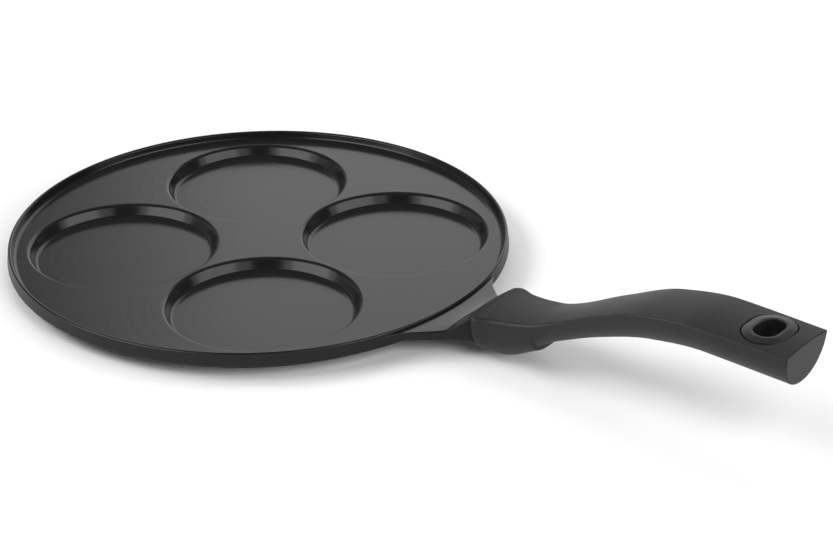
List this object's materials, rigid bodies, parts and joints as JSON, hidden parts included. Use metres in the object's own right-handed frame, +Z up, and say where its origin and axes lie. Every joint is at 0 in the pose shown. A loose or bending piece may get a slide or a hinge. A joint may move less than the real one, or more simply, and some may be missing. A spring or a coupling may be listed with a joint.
{
  "type": "blini pan",
  "caption": "Round cast pan with shallow round wells for small pancakes, a low raised rim, and an arched moulded handle with a hang eyelet near its end.",
  "frame": {"origin": "centre of the round base, on the table it stands on", "axes": "+X from the pan's centre along the handle to its end, +Z up out of the wells, +Y to the left of someone who looks along the handle from the pan"},
  "size_m": [0.4723, 0.27, 0.0667],
  "materials": {
    "coated_casting": "semi-gloss dark grey non-stick coating",
    "handle_moulding": "matte dark grey moulding with a fine grain",
    "eyelet_moulding": "glossy dark grey",
    "screw_steel": "bright zinc",
    "washer_steel": "dull zinc"
  },
  "bodies": {
    "root": {"pan_body": "coated_casting", "handle_grip": "handle_moulding", "hang_eyelet": "eyelet_moulding", "handle_screw": "screw_steel", "lock_washer": "washer_steel"}
  },
  "joints": []
}
